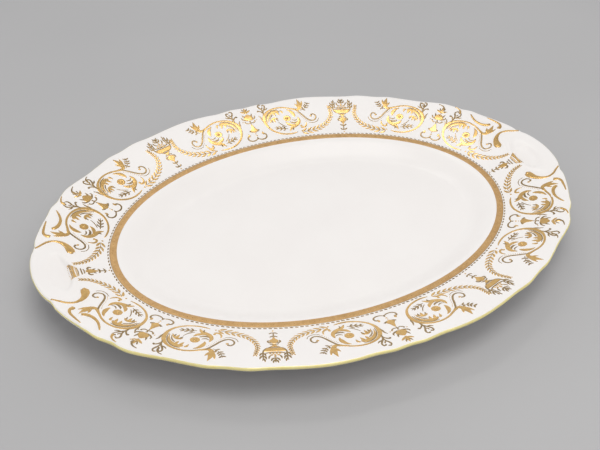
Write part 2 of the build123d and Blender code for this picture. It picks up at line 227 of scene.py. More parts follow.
def rim_arch(outside):
    """How far the rim is arched over the straight line from its start to its edge."""
    along = np.clip((outside - rim_start) / rim_reach, 0, 1.1)
    return 4 * rim_crown * along * (1 - along)


def china_top(x, y):
    """Height of the china's top face at plan points."""
    outside = outside_shoulder(x, y)
    return profile_height(top_profile, outside) + rim_arch(outside) + relief(x, y)


def outline_edge(columns):
    """How far outside the shoulder line the scalloped edge lies, at each column's oval angle."""
    quarter = [(radians(angle), fraction) for angle, fraction in scallops]
    half = quarter + [(pi - angle, fraction) for angle, fraction in quarter[-2::-1]]
    whole = half + [(2 * pi - angle, fraction) for angle, fraction in half[-2::-1]]
    wrapped = [(angle - 2 * pi, fraction) for angle, fraction in whole[-4:-1]] + whole
    wrapped += [(angle + 2 * pi, fraction) for angle, fraction in whole[1:4]]
    enlarged = [(angle * 100, fraction * 100) for angle, fraction in wrapped]  # to suit the path's step
    angle, fraction = smooth_path(enlarged, 0.3).T / 100
    x = outline_length * fraction * np.cos(angle)
    y = outline_width * fraction * np.sin(angle)
    outside = outside_shoulder(x, y)
    oval_angle = np.unwrap(np.arctan2(y / (shoulder_width + outside), x / (shoulder_length + outside)))
    return np.interp(columns, oval_angle, outside)


# ---- Meshes ----
def new_piece(name, vertices, faces, node, materials, face_materials=None):
    """A mesh piece on the platter's one body that stands for a CAD node."""
    mesh = bpy.data.meshes.new(name)
    mesh.from_pydata((np.asarray(vertices) * MM).tolist(), [], faces)
    for material in materials:
        mesh.materials.append(material)
    if face_materials is not None:
        mesh.polygons.foreach_set("material_index", face_materials)
    work = bmesh.new()
    work.from_mesh(mesh)
    bmesh.ops.recalc_face_normals(work, faces=work.faces)
    work.to_mesh(mesh)
    work.free()
    mesh.polygons.foreach_set("use_smooth", [True] * len(mesh.polygons))
    piece = bpy.data.objects.new(name, mesh)
    bpy.context.collection.objects.link(piece)
    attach(piece, ROOT)
    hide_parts(node)


# Rows and columns of the body's mesh. The flat middles take rows at shares of their edge's size.
COLUMNS = 1000
WELL_ROWS, RIM_ROWS, LIP_ROWS, UNDER_RIM_ROWS = 25, 38, 7, 7
floor_shares, under_floor_shares = (0.15, 0.35, 0.6, 0.8, 0.94), (0.7, 0.3)
under_well_stations = (0.0, -4.0, -8.0, -12.0, -16.0, -19.2)  # outside the shoulder line
column_angles = np.arange(COLUMNS) * 2 * pi / COLUMNS
edge_outside = outline_edge(column_angles)


def oval_row(outside):
    """Plan points of a row of the body, one at each column."""
    x = (shoulder_length + outside) * np.cos(column_angles)
    y = (shoulder_width + outside) * np.sin(column_angles)
    return x, y


def lip_section():
    """Where the lip starts to turn, outside the shoulder line, and its middle height and half height."""
    shelf = edge_outside - lip_radius
    brink = china_top(*oval_row(shelf))
    under_brink = profile_height(under_profile, shelf) + rim_arch(shelf)
    return shelf, (brink + under_brink) / 2, (brink - under_brink) / 2


def body_rows():
    """The china's section as rows of points, from the well's middle over the rim to the underside."""
    rows = []

    def add(outside, height, share=1.0):
        x, y = oval_row(outside)
        rows.append(np.column_stack([x * share, y * share, np.broadcast_to(height, COLUMNS)]))

    for share in floor_shares:
        add(floor_edge, floor_top, share)
    for outside in np.linspace(floor_edge, rim_start, WELL_ROWS):
        add(outside, china_top(*oval_row(outside)))
    shelf, middle, half = lip_section()
    for share in np.linspace(0, 1, RIM_ROWS + 1)[1:]:
        outside = rim_start + (shelf - rim_start) * share
        add(outside, china_top(*oval_row(outside)))
    for turn in np.linspace(pi / 2, -pi / 2, LIP_ROWS + 2)[1:-1]:
        add(shelf + lip_radius * cos(turn), middle + half * sin(turn))
    for share in np.linspace(1, 0, UNDER_RIM_ROWS):
        outside = rim_start + (shelf - rim_start) * share
        add(outside, profile_height(under_profile, outside) + rim_arch(outside))
    for outside in under_well_stations:
        add(outside, profile_height(under_profile, outside))
    for outside, height in foot_section:
        add(outside, height)
    for share in under_floor_shares:
        add(*foot_section[-1], share)
    return rows


def ring_faces(row_count, columns):
    """Quads between consecutive closed rows."""
    faces = []
    for row in range(row_count - 1):
        for column in range(columns):
            after = (column + 1) % columns
            low, high = row * columns, (row + 1) * columns
            faces.append((low + column, low + after, high + after, high + column))
    return faces


def tube_faces(row_count, columns):
    """Quads between consecutive closed rows, and from the last row back to the first."""
    corners = row_count * columns
    return [tuple(corner % corners for corner in face) for face in ring_faces(row_count + 1, columns)]


def make_china(material):
    """The china body: one closed casting with its foot ring."""
    rows = body_rows()
    faces = ring_faces(len(rows), COLUMNS)
    top, under = len(rows) * COLUMNS, len(rows) * COLUMNS + 1  # the middle of the well, and under it
    last = (len(rows) - 1) * COLUMNS
    for column in range(COLUMNS):
        after = (column + 1) % COLUMNS
        faces.append((top, after, column))
        faces.append((under, last + column, last + after))
    vertices = np.vstack([*rows, (0, 0, floor_top), (0, 0, floor_under)])
    new_piece("china_body", vertices, faces, "platter_body", [material])


# ---- Gold strokes and dots ----
SOLID, LINE, MATT = 0, 1, 2  # the gold of leaves and blobs, of fine lines, and of the band's ground
line_limit = 0.55  # a stroke whose greatest half width is no more than this is a fine line
# A stroke is painted this many times wider than its given half width, plus the swell.
boldness = {SOLID: 1.55, LINE: 1.35, MATT: 1.55}
swell = 0.06
least_half = 0.15
# A stroke's section, as (share of its half width, height over the china), and a dot's
stroke_section = ((-1.0, -0.03), (-0.9, 0.03), (-0.7, 0.04), (0.7, 0.04), (0.9, 0.03), (1.0, -0.03))
dot_skirt = ((1.0, -0.05), (0.75, 0.08))
dot_crown_share = 0.35


class Gilding:
    """Collects strokes and dots that lie on the china, for one piece."""

    def __init__(self):
        self.vertices = []
        self.faces = []
        self.materials = []
        self.count = 0

    def add(self, vertices, faces, material):
        """Adds faces whose corners are numbers of the given vertices."""
        self.vertices.append(vertices)
        self.faces += [tuple(corner + self.count for corner in face) for face in faces]
        self.materials += [material] * len(faces)
        self.count += len(vertices)

    def stroke(self, points, closed=False, material=None, lift=1.0, step=0.7):
        """A tapered stroke along plan points (x, y, half width)."""
        if material is None:
            material = SOLID if max(point[2] for point in points) > line_limit else LINE
        rows = smooth_path(points, step)
        if closed:
            rows = rows[:-1]
            run = np.roll(rows, -1, 0)[:, :2] - np.roll(rows, 1, 0)[:, :2]
        else:
            run = np.gradient(rows[:, :2], axis=0)
        normal = np.column_stack([-run[:, 1], run[:, 0]]) / np.linalg.norm(run, axis=1)[:, None]
        half = np.maximum(rows[:, 2] * boldness[material] + swell, least_half)[:, None]
        sides = len(stroke_section)
        grid = []
        for share, height in stroke_section:
            plan = rows[:, :2] + normal * half * share
            grid.append(np.column_stack([plan, china_top(plan[:, 0], plan[:, 1]) + height * lift]))
        vertices = np.stack(grid, 1).reshape(-1, 3)
        count = len(rows)
        faces = []
        for row in range(count if closed else count - 1):
            low, high = row * sides, (row + 1) % count * sides
            for side in range(sides):
                after = (side + 1) % sides
                faces.append((low + side, low + after, high + after, high + side))
        if not closed:
            faces.append(tuple(range(sides)))
            faces.append(tuple((count - 1) * sides + side for side in range(sides)))
        self.add(vertices, faces, material)

    def dot(self, x, y, radius, corners=12, crown=0.13):
        """A small domed dot."""
        turn = np.arange(corners) * 2 * pi / corners
        rings = []
        for share, height in (*dot_skirt, (dot_crown_share, crown)):
            plan_x, plan_y = x + radius * share * np.cos(turn), y + radius * share * np.sin(turn)
            rings.append(np.column_stack([plan_x, plan_y, china_top(plan_x, plan_y) + height]))
        faces = ring_faces(len(rings), corners)
        last = (len(rings) - 1) * corners
        faces.append(tuple(range(corners)))
        faces.append(tuple(last + corner for corner in range(corners)))
        self.add(np.vstack(rings), faces, SOLID)

    def ribbon(self, inner, outer, section, material, steps=720):
        """A closed ribbon round the shoulder between two distances, with the given section."""
        turn = np.arange(steps) * 2 * pi / steps
        rows = []
        for share, height in section:
            outside = inner + (outer - inner) * share
            x = (shoulder_length + outside) * np.cos(turn)
            y = (shoulder_width + outside) * np.sin(turn)
            rows.append(np.column_stack([x, y, china_top(x, y) + height]))
        self.add(np.vstack(rows), tube_faces(len(rows), steps), material)

    def finish(self, node, materials):
        """Writes the piece that stands for a CAD node of gilding."""
        vertices, faces = np.vstack(self.vertices), self.faces
        new_piece(f"gilt_{node}", vertices, faces, node, materials, self.materials)


# ---- The painted motifs. A stroke is a list of (across, out, half width) ----
# Medallion: the origin is the dot where its garland ends, across runs towards the candelabra.
medallion_strokes = (
    # the ring and its volute
    ((3.6, -0.3, 0.15), (7.5, -0.9, 0.38), (12.5, -0.7, 0.42), (18.0, 1.1, 0.45), (23.0, 4.9, 0.5),
     (25.8, 9.8, 0.65), (26.6, 15.0, 0.85), (25.4, 20.0, 0.85), (22.0, 23.9, 0.6),
     (17.0, 26.2, 0.48), (11.5, 26.7, 0.45), (6.6, 25.6, 0.45), (2.4, 23.6, 0.5), (-1.3, 22.0, 0.6)),
    ((-0.7, 22.0, 0.4), (-2.4, 19.6, 0.45), (-4.5, 15.8, 0.48), (-6.5, 11.8, 0.48),
     (-8.9, 9.0, 0.45), (-11.7, 8.2, 0.42), (-14.1, 9.8, 0.4), (-14.7, 12.4, 0.4),
     (-13.3, 14.5, 0.42), (-11.3, 14.0, 0.5)),
    ((-7.7, 6.9, 0.12), (-11.1, 5.9, 0.18), (-14.5, 6.8, 0.16), (-16.5, 9.4, 0.12)),
    # the inner ring line and its shadow line
    ((24.8, 12.2, 0.12), (24.6, 16.6, 0.25), (22.4, 21.2, 0.3), (18.4, 24.2, 0.3), (13.6, 25.2, 0.12)),
    # tall leaf at the top left
    ((1.0, 22.6, 0.3), (-1.4, 21.6, 0.7), (-3.6, 22.0, 0.9), (-4.9, 23.8, 1.1)),
    ((-4.7, 22.8, 1.0), (-5.3, 25.8, 1.3), (-5.4, 28.8, 0.85), (-5.0, 32.6, 0.1)),
    ((-5.6, 24.2, 0.7), (-7.2, 26.8, 0.65), (-8.6, 30.0, 0.1)),
    ((-4.2, 24.4, 0.6), (-3.0, 26.2, 0.55), (-2.0, 28.2, 0.1)),
    # curl over the dot
    ((-5.5, 8.0, 0.15), (-5.1, 5.6, 0.35), (-3.7, 3.7, 0.45), (-1.7, 3.2, 0.5), (-0.4, 4.2, 0.6)),
    # crescent leaves that wrap the left of the ring
    ((6.4, 23.4, 0.15), (4.0, 21.6, 0.65), (2.4, 18.8, 0.95), (1.9, 16.0, 0.6), (2.2, 14.4, 0.1)),
    ((-0.4, 14.0, 0.2), (-0.6, 10.8, 0.75), (1.0, 7.8, 0.95), (4.2, 5.9, 1.0), (7.2, 4.5, 0.8),
     (9.4, 1.7, 0.15)),
    ((3.4, 7.0, 0.2), (6.4, 7.2, 0.7), (8.8, 8.6, 0.75), (10.4, 11.0, 0.12)),
    ((0.9, 9.7, 0.15), (3.2, 9.0, 0.55), (5.4, 9.5, 0.5), (6.8, 10.9, 0.1)),
    ((0.4, 12.2, 0.1), (2.2, 11.3, 0.35), (4.0, 11.8, 0.3), (4.8, 12.7, 0.1)),
    ((5.6, 5.0, 0.3), (6.4, 3.6, 0.5), (6.2, 2.0, 0.1)),
    # acanthus at the top of the ring
    ((24.0, 13.4, 0.12), (23.2, 17.4, 0.45), (21.0, 20.8, 0.75), (17.6, 22.8, 0.95),
     (14.6, 23.1, 0.85), (12.8, 22.2, 0.4)),
    ((12.0, 23.2, 0.3), (10.8, 22.4, 0.58), (10.2, 20.0, 0.12)),
    ((14.8, 22.0, 0.6), (14.1, 20.6, 0.58), (13.4, 18.8, 0.1)),
    ((17.6, 21.6, 0.65), (17.2, 20.2, 0.58), (16.6, 18.6, 0.1)),
    ((22.6, 13.8, 0.12), (21.6, 17.0, 0.3), (19.6, 19.4, 0.32), (18.4, 20.0, 0.1)),
    # hooked leaf in the middle right
    ((22.6, 12.2, 0.12), (21.2, 14.6, 0.45), (19.2, 15.9, 0.75), (17.0, 16.2, 0.5), (15.4, 15.2, 0.1)),
    ((19.2, 15.4, 0.6), (18.8, 13.9, 0.56), (18.4, 12.2, 0.1)),
    ((21.0, 14.6, 0.45), (20.8, 13.3, 0.45), (20.3, 12.0, 0.1)),
    ((17.0, 15.8, 0.4), (16.3, 14.5, 0.4), (15.8, 13.3, 0.1)),
    # stalk and sprig under the flower
    ((16.2, 12.2, 0.12), (14.8, 9.8, 0.22), (12.7, 7.6, 0.24), (10.8, 6.2, 0.12)),
    ((10.4, 4.2, 0.12), (13.4, 4.8, 0.35), (17.0, 5.7, 0.35), (20.6, 6.8, 0.12)),
    ((12.2, 4.9, 0.15), (13.2, 6.3, 0.42), (14.4, 7.6, 0.12)),
    ((14.8, 5.4, 0.15), (15.9, 6.8, 0.42), (17.2, 8.0, 0.12)),
    ((17.4, 6.0, 0.15), (18.4, 7.1, 0.38), (19.6, 7.9, 0.12)),
    ((12.4, 4.5, 0.15), (13.4, 3.5, 0.4), (14.5, 2.9, 0.12)),
    ((15.0, 5.1, 0.15), (16.1, 4.2, 0.4), (17.3, 3.7, 0.12)),
    ((17.8, 5.8, 0.15), (18.9, 5.2, 0.35), (20.1, 5.0, 0.12)),
    # sprays outside the ring
    ((25.6, 20.6, 0.4), (25.4, 24.5, 0.45), (23.6, 27.6, 0.45), (22.6, 30.0, 0.4),
     (23.4, 31.9, 0.4), (24.9, 31.0, 0.45)),
    ((25.3, 24.2, 0.3), (26.0, 27.2, 0.4), (27.5, 29.6, 0.45), (27.9, 31.4, 0.4), (26.8, 32.8, 0.35),
     (25.8, 32.0, 0.4)),
    ((25.4, 22.6, 0.3), (26.8, 24.8, 0.4), (29.2, 26.2, 0.4), (29.5, 25.0, 0.45)),
    ((24.2, 26.4, 0.3), (22.2, 27.0, 0.4), (20.8, 28.4, 0.12)),
    ((26.0, 27.6, 0.3), (24.9, 28.8, 0.35), (24.9, 30.0, 0.12)),
    ((27.2, 13.5, 0.12), (28.2, 16.5, 0.4), (28.6, 19.0, 0.4), (29.9, 21.2, 0.12)),
)
medallion_dots = ((0.0, 0.0, 0.75), (-0.7, 5.1, 1.0), (-10.9, 13.0, 1.0))
bead_line = ((0.2, 20.0), (-2.6, 16.3), (-4.2, 12.6), (-6.4, 9.0), (-8.6, 7.4))
bead_pitch, bead_radius = 1.15, 0.34
flower_centre, flower_radius, flower_eye, petals = (8.3, 14.4), 3.0, 1.15, 8
petal_shape = (  # (distance from the flower's centre, half width)
    (0.9, 0.2), (1.9, 0.75), (flower_radius - 0.35, 0.7), (flower_radius, 0.25),
)
sprig_line = ((-4.6, 20.4), (-7.4, 21.4), (-10.2, 23.8), (-12.4, 27.2))
sprig_half, sprig_pairs = 0.14, 4  # the stem's half width, and its pairs of leaves
sprig_leaf_along, sprig_leaf_aside = 1.5, 2.1  # from a leaf's root to its tip
sprig_leaf_halves = (0.12, 0.46, 0.12)
medallion_places = {  # (dot's place, heading of the across axis in degrees, hand)
    "handle": ((141.1, 29.7), 119, -1),
    "side": ((98.8, 77.8), -36, 1),
    "centre": ((35.3, 101.3), 174, -1),
}
# The transfers were laid by hand, so a medallion may sit a little off its place, by (x, y).
laid_off = {
    ("centre", "right_back"): (0.9, 1.2), ("side", "right_back"): (-0.1, 1.6),
    ("centre", "left_front"): (-0.1, -1.2), ("side", "left_front"): (-0.3, -0.4),
    ("handle", "left_front"): (-0.2, 0.8), ("centre", "right_front"): (1.9, -1.4),
    ("side", "right_front"): (0.6, -0.4), ("handle", "right_front"): (1.0, 0.7),
    ("side", "left_back"): (-0.3, -0.4),
}
sprigs_on = ("side", "centre")

# Candelabra: the origin is on the shoulder line, and out is its own axis. A motif's half holds the
# strokes of one side, which are mirrored, and its axis the strokes in the middle.
candelabra_half = (
    ((0.3, 6.2, 0.25), (2.4, 4.9, 0.38), (5.0, 4.8, 0.4), (7.0, 6.0, 0.42), (7.6, 8.0, 0.42),
     (6.6, 9.6, 0.45), (5.3, 9.2, 0.4)),
    ((5.9, 11.8, 0.1), (5.6, 10.3, 0.56), (6.0, 8.8, 0.2)),
    ((0.8, 13.3, 0.5), (2.4, 13.4, 0.45), (3.9, 14.5, 0.5)),
    ((0.4, 22.4, 0.25), (2.0, 22.0, 0.32), (3.6, 22.8, 0.36), (4.2, 24.2, 0.45)),
    ((1.4, 25.3, 0.4), (3.4, 25.9, 0.45), (5.2, 27.2, 0.4), (5.3, 28.8, 0.2)),
    ((2.4, 28.2, 0.4), (3.4, 29.8, 0.45), (3.9, 31.6, 0.1)),
    ((0.7, 33.2, 0.4), (2.4, 34.4, 0.58), (4.1, 35.4, 0.1)),
    ((0.4, 34.8, 0.3), (1.5, 36.2, 0.42), (2.2, 37.6, 0.1)),
)
candelabra_axis = (
    ((0, 5.4, 0.15), (0, 6.8, 0.42), (0, 7.8, 0.2)),
    ((0, 12.1, 0.4), (0, 13.2, 1.5), (0, 14.6, 2.0), (0, 16.4, 1.2), (0, 18.6, 0.7), (0, 20.8, 0.2)),
    ((0, 20.6, 0.2), (0, 22.8, 0.28), (0, 24.4, 0.5)),
    ((0, 24.9, 1.2), (0, 26.2, 2.1), (0, 28.4, 2.4), (0, 30.2, 1.3), (0, 31.4, 0.3)),
    ((0, 32.2, 0.3), (0, 33.8, 0.85), (0, 36.0, 0.6), (0, 38.4, 0.1)),
)
candelabra_dots = ((0.0, 9.3, 0.75), (0.0, 11.0, 0.5), (5.6, 24.3, 0.55), (-5.6, 24.3, 0.55))
diagonal_angle, diagonal_heading = radians(32), 42  # the oval angle of its foot, and its axis in degrees

# Urn with fruit, drawn like the candelabra
urn_half = (
    ((0.0, 5.4, 0.42), (1.4, 5.5, 0.42), (2.5, 6.5, 0.25)),
    ((0.0, 9.3, 0.5), (1.3, 9.5, 0.42), (2.3, 10.4, 0.25)),
    ((1.4, 16.2, 0.4), (2.9, 16.4, 0.45), (3.7, 15.0, 0.42), (3.1, 13.9, 0.2)),
    ((0.4, 18.5, 0.3), (1.8, 18.2, 0.38), (2.7, 17.6, 0.25)),
    ((0.0, 21.0, 0.35), (2.4, 21.2, 0.35), (3.9, 22.3, 0.25)),
    ((0.0, 26.7, 0.32), (2.8, 26.7, 0.32), (5.5, 27.5, 0.35)),
    ((4.9, 22.6, 0.3), (6.4, 24.4, 0.38), (7.0, 27.6, 0.36), (6.9, 31.0, 0.32), (7.4, 34.8, 0.15)),
    ((6.9, 26.8, 0.2), (8.3, 28.0, 0.5), (9.0, 30.0, 0.12)),
    ((6.9, 29.4, 0.2), (8.3, 31.0, 0.5), (9.1, 33.2, 0.12)),
    ((6.8, 30.0, 0.2), (5.6, 31.4, 0.5), (5.1, 33.6, 0.12)),
    ((6.9, 27.2, 0.2), (5.8, 28.4, 0.45), (5.3, 30.4, 0.12)),
    ((7.0, 32.2, 0.2), (6.2, 34.0, 0.45), (6.0, 36.0, 0.12)),
    ((0.4, 32.2, 0.25), (1.8, 33.2, 0.5), (2.6, 35.2, 0.12)),
    ((0.3, 34.0, 0.2), (1.2, 35.4, 0.45), (1.5, 37.2, 0.12)),
    ((2.6, 29.6, 0.2), (3.5, 31.2, 0.4), (3.8, 33.2, 0.12)),
)
urn_axis = (
    ((0, 4.8, 0.15), (0, 8.2, 0.3), (0, 9.2, 0.3)),
    ((0, 10.3, 0.3), (0, 12.0, 0.7), (0, 14.2, 1.9), (0, 16.0, 1.5), (0, 17.6, 0.6)),
    ((0, 18.0, 0.6), (0, 19.6, 0.9), (0, 20.5, 1.9)),
    ((0, 21.8, 3.2), (0, 23.6, 4.4), (0, 25.8, 4.9)),
    ((0, 31.8, 0.2), (0, 34.0, 0.5), (0, 36.8, 0.1)),
)
fruit_rows = ((27.7, 4), (29.3, 3), (30.7, 1))  # (height out, fruits in the row)
fruit_pitch, fruit_radius = 1.9, 0.85
urn_angle, urn_heading, urn_dot = radians(62.2), 71, 3.1
foot_dot_radius = 0.7  # of the dot under an urn or a palmette

# Palmette beside the lug: a fluted basket over a drop
palmette_half = (
    ((0.0, 4.9, 0.4), (1.2, 4.9, 0.36), (2.1, 5.7, 0.25)),
    ((0.0, 8.2, 0.5), (1.2, 8.3, 0.42), (2.0, 9.1, 0.25)),
    ((0.9, 14.8, 0.45), (2.6, 15.4, 0.5), (3.8, 14.2, 0.48), (3.3, 12.8, 0.3)),
    ((0.6, 12.6, 0.3), (1.8, 11.6, 0.42), (2.4, 10.4, 0.12)),
    ((0.0, 17.9, 0.28), (1.4, 17.8, 0.28), (2.3, 18.3, 0.2)),
    ((0.0, 19.6, 0.32), (1.8, 19.5, 0.32), (3.2, 19.7, 0.25)),
)
palmette_axis = (
    ((0, 3.6, 0.15), (0, 6.4, 0.32), (0, 7.8, 0.3)),
    ((0, 9.0, 0.3), (0, 11.0, 0.7), (0, 13.4, 1.4), (0, 15.4, 1.0), (0, 17.0, 0.4)),
)
flute_count, flute_low, flute_high = 9, 21.6, 25.6
flute_halves = (0.12, 0.34, 0.46)
basket_foot, basket_top = 3.6, 6.0  # how far the outer flutes stand from the axis
fringe_foot, fringe_out = flute_high + 0.3, 27.6
fringe_count, fringe_pitch, fringe_spread = 10, 1.4, 1.08  # the teeth spread outwards by that factor
fringe_halves = (0.5, 0.12)
basket_bars = ((flute_high + 0.4, basket_top + 0.9), (flute_low - 0.1, basket_foot + 0.5))
bar_sag, bar_end_half, bar_half = 0.3, 0.12, 0.16  # a bar sags inwards in its middle
palmette_dot = 2.1

# Garlands, in plan in the first quarter: the vine from its hung end to the medallion's dot
garland_vines = {
    "handle": ((164.4, 8.0), (158.9, 8.9), (153.8, 11.6), (148.8, 16.2), (144.4, 22.4), (142.7, 27.5)),
    "side": ((86.5, 111.6), (81.8, 102.9), (83.1, 92.9), (89.4, 84.8), (96.1, 79.3)),
    "centre": ((66.0, 119.1), (64.0, 109.5), (56.5, 102.8), (46.6, 100.7), (38.0, 101.1)),
}
vine_half, vine_thinning = 0.2, 0.02  # the vine's half width where it hangs, and what each point loses
husk_first, husk_last = 1.9, 4.9  # length of the first and the last pair of husks
husk_step = 0.9  # a pair's step along the vine, as a share of its length
husk_tail, husk_bend, husk_tip = (-0.42, 0.6), (0.08, 0.34), (0.5, 0.05)  # shares: (along, across) the vine
husk_tail_half, husk_tip_half = 0.12, 0.14
husk_bend_half, husk_bend_growth = 0.08, 0.1  # the half width, and what it gains with the husk's length

# Band and rope round the well. A section is (share of the width, height over the china).
band_units = 240
painted_inner, painted_outer = band_inner + 0.4, band_outer - 0.3  # a little inside the CAD band
ground_section = (
    (0.0, -0.05), (0.06, 0.05), (0.2, 0.05), (0.35, 0.05), (0.5, 0.05), (0.65, 0.05), (0.8, 0.05),
    (0.94, 0.05), (1.0, -0.05),
)
border_section = ((0.0, -0.05), (0.25, 0.08), (0.75, 0.08), (1.0, -0.05))
border = 0.35
ring_middle, ring_radius, ring_half, ring_corners = -2.3, 1.2, 0.12, 8
ring_lift, ring_bead = 1.2, 0.4
rope_outside, rope_half, rope_end_half = 0.9, 0.32, 0.2
rope_slant, rope_share = 0.12, 0.66  # how far a dash's ends stray from its middle, and its share of the pitch

# The gold line on the lip, from its upper to its lower margin, as turns of the lip in radians
edge_upper, edge_lower = 1.0, -0.55
edge_upper_on_lug, edge_lower_on_lug = 0.75, 0.0
lug_start, lug_blend = 168.0, 6.0
edge_wavers = ((0.04, 47, 0), (0.03, 113, 1))  # of the upper margin: (size, waves in a round, phase)
edge_section = (
    (0.0, -0.05), (0.06, 0.06), (0.3, 0.08), (0.5, 0.08), (0.7, 0.08), (0.94, 0.05), (1.0, -0.05),
)


def place(point, origin, heading, hand):
    """Plan position of a motif's own point. The heading of its across axis is in degrees."""
    turn = radians(heading)
    x = origin[0] + point[0] * cos(turn) - hand * point[1] * sin(turn)
    y = origin[1] + point[0] * sin(turn) + hand * point[1] * cos(turn)
    return (x, y, *point[2:])


def shoulder_point(angle, outside):
    """Plan point at a distance outside the shoulder line, on its normal at an oval angle."""
    normal = Vector((cos(angle) / shoulder_length, sin(angle) / shoulder_width)).normalized()
    return (
        shoulder_length * cos(angle) + outside * normal.x,
        shoulder_width * sin(angle) + outside * normal.y,
    )


oval_turns = np.linspace(0, 2 * pi, 4001)
oval_steps = np.hypot(shoulder_length * np.sin(oval_turns), shoulder_width * np.cos(oval_turns))
oval_run = np.concatenate([[0], np.cumsum((oval_steps[1:] + oval_steps[:-1]) / 2)])
oval_share = oval_run / oval_run[-1] * 2 * pi


def shoulder_angle(even):
    """Oval angle of a place given by its share of the shoulder line's length, from 0 to 2 pi."""
    return float(np.interp(even % (2 * pi), oval_share, oval_turns))


def with_halves(points, halves):
    """A stroke's points, each with its half width."""
    return [(*point, half) for point, half in zip(points, halves)]


class Quarter:
    """Draws in the first quarter's coordinates and mirrors into its own.

    A motif has coordinates of its own, and where is its (origin, heading, hand).
    """

    def __init__(self, along=1, over=1):
        self.gold = Gilding()
        self.along = along
        self.over = over

    def stroke(self, points, **options):
        self.gold.stroke([(x * self.along, y * self.over, half) for x, y, half in points], **options)

    def dot(self, x, y, radius, **options):
        self.gold.dot(x * self.along, y * self.over, radius, **options)

    def motif_stroke(self, points, where, **options):
        self.stroke([place(point, *where) for point in points], **options)

    def motif_dot(self, dot, where, **options):
        self.dot(*place(dot, *where), **options)


quarters = (("right_back", 1, 1), ("left_back", -1, 1), ("right_front", 1, -1), ("left_front", -1, -1))


def draw_flower(pen, where):
    """A medallion's flower."""
    for petal in range(petals):
        turn = 2 * pi * petal / petals
        arm = [
            (flower_centre[0] + out * cos(turn), flower_centre[1] + out * sin(turn), half)
            for out, half in petal_shape
        ]
        pen.motif_stroke(arm, where, step=0.5)
    pen.motif_dot((*flower_centre, flower_eye), where, crown=0.2)


def draw_sprig(pen, where):
    """A medallion's sprig: a stem with pairs of leaves."""
    stem = smooth_path(sprig_line, 0.8)
    pen.motif_stroke([(*point, sprig_half) for point in sprig_line], where)
    for number in range(1, sprig_pairs + 1):
        spot = int(len(stem) * number / (sprig_pairs + 1))
        root = stem[spot]
        run = stem[min(spot + 1, len(stem) - 1)] - stem[spot - 1]
        run = run / np.linalg.norm(run)
        for side in (1, -1):
            tip = root + sprig_leaf_along * run + side * sprig_leaf_aside * np.array((-run[1], run[0]))
            leaf = with_halves((root, (root + tip) / 2, tip), sprig_leaf_halves)
            pen.motif_stroke(leaf, where, step=0.5)


def draw_medallion(pen, where, with_sprig):
    """One scroll medallion with its flower, beads and leaves."""
    for points in medallion_strokes:
        pen.motif_stroke(points, where)
    for dot in medallion_dots:
        pen.motif_dot(dot, where)
    for bead in smooth_path(bead_line, bead_pitch)[1:-1]:
        pen.motif_dot((*bead, bead_radius), where, corners=6)
    draw_flower(pen, where)
    if with_sprig:
        draw_sprig(pen, where)


def draw_axis_motif(pen, half, axis, dots, where):
    """A motif that is the same on both sides of its own axis."""
    for points in axis:
        pen.motif_stroke(points, where)
    for points in half:
        for side in (1, -1):
            pen.motif_stroke([(side * x, y, wide) for x, y, wide in points], where)
    for dot in dots:
        pen.motif_dot(dot, where)


def draw_fruit(pen, where):
    """The pyramid of fruit in an urn."""
    for out, count in fruit_rows:
        for number in range(count):
            across = (number - (count - 1) / 2) * fruit_pitch
            pen.motif_dot((across, out, fruit_radius), where, crown=0.22)


def draw_basket(pen, where):
    """The palmette's fluted basket with its zigzag fringe."""
    for number in range(flute_count):
        lean = (number - (flute_count - 1) / 2) / ((flute_count - 1) / 2)
        low, high = (lean * basket_foot, flute_low), (lean * basket_top, flute_high)
        middle = ((low[0] + high[0]) / 2, (low[1] + high[1]) / 2)
        pen.motif_stroke(with_halves((low, middle, high), flute_halves), where, material=SOLID)
    for number in range(fringe_count):
        across = (number - (fringe_count - 1) / 2) * fringe_pitch
        foot, tip = (across, fringe_foot), (across * fringe_spread, fringe_out)
        pen.motif_stroke(with_halves((foot, tip), fringe_halves), where, material=SOLID)
    for out, length in basket_bars:
        left, right = ((side * length, out + bar_sag, bar_end_half) for side in (-1, 1))
        pen.motif_stroke((left, (0.0, out, bar_half), right), where)


def draw_garland(pen, vine):
    """Pairs of husks along a vine, growing from its hung end to its last, large pair."""
    path = smooth_path(vine, 0.5)
    lengths = np.concatenate([[0], np.cumsum(np.linalg.norm(np.diff(path, axis=0), axis=1))])
    total = lengths[-1]
    pen.stroke([(*point, vine_half - vine_thinning * number) for number, point in enumerate(vine)])
    along = 0.0
    while along < total - 0.3:
        size = husk_first + (husk_last - husk_first) * along / total
        ahead = min(along + 0.6, total)
        root = np.array([np.interp(along, lengths, path[:, axis]) for axis in (0, 1)])
        front = np.array([np.interp(ahead, lengths, path[:, axis]) for axis in (0, 1)])
        run = (front - root) / max(np.linalg.norm(front - root), 1e-6)
        across = np.array((-run[1], run[0]))
        halves = (husk_tail_half, husk_bend_half + size * husk_bend_growth, husk_tip_half)
        for side in (1, -1):
            husk = [
                root + run * size * forward + side * across * size * aside
                for forward, aside in (husk_tail, husk_bend, husk_tip)
            ]
            pen.stroke(with_halves(husk, halves), step=0.6, material=SOLID)
        along += size * husk_step


# ---- Materials ----
def node_material(name):
    """A material, its Principled shader, and helpers that add a node and link two."""
    material = bpy.data.materials.new(name)
    material.use_nodes = True
    tree = material.node_tree

    def add(kind, **values):
        """Adds a node. in_Some_Name sets its input Some Name, and any other value is set on the node."""
        node = tree.nodes.new(kind)
        for key, value in values.items():
            if key.startswith("in_"):
                node.inputs[key[3:].replace("_", " ")].default_value = value
            else:
                setattr(node, key, value)
        return node

    def link(source, output, target, entry):
        tree.links.new(source.outputs[output], target.inputs[entry])

    return material, tree.nodes["Principled BSDF"], add, link


